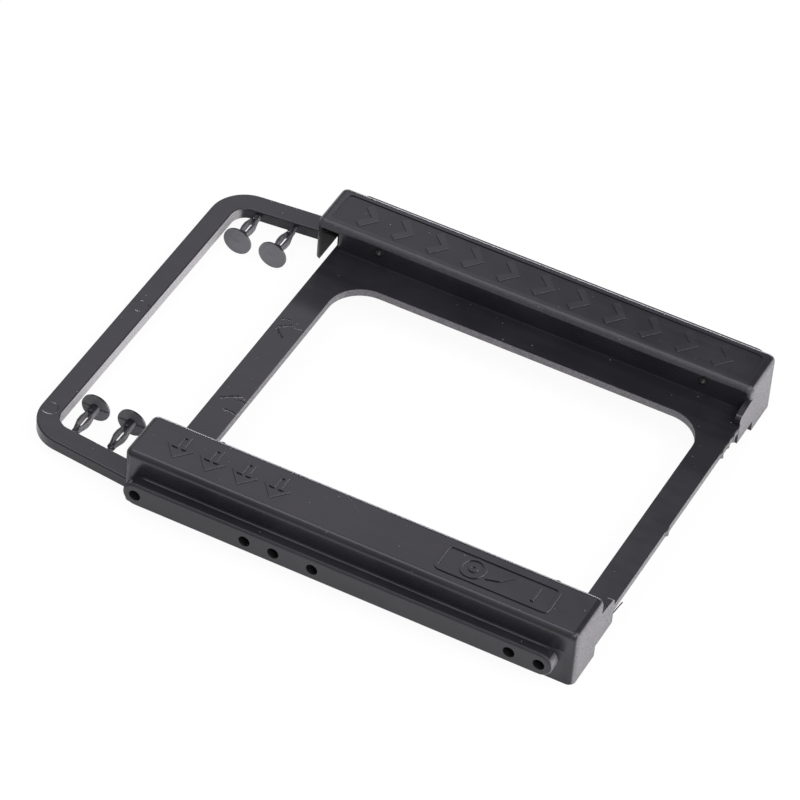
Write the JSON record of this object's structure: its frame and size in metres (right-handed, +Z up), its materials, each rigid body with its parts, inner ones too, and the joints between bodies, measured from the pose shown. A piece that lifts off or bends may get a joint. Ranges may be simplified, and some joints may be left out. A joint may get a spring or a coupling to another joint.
{
  "type": "drive bay adapter bracket",
  "caption": "One-piece plastic bracket that carries a 2.5 inch drive in a 3.5 inch bay: hollow side rails, open floor frame, and a runner loop with split push pins.",
  "frame": {"origin": "under the middle of the bracket's overall length and width, on the surface it stands on", "axes": "+X along the rails away from the runner loop, +Y across the bay towards the rail with the taller ledge, +Z up"},
  "size_m": [0.129, 0.1016, 0.014],
  "materials": {
    "adapter_bracket": "smooth black moulded plastic with a semi-gloss skin"
  },
  "bodies": {
    "root": {"adapter_bracket": "adapter_bracket"}
  },
  "joints": []
}
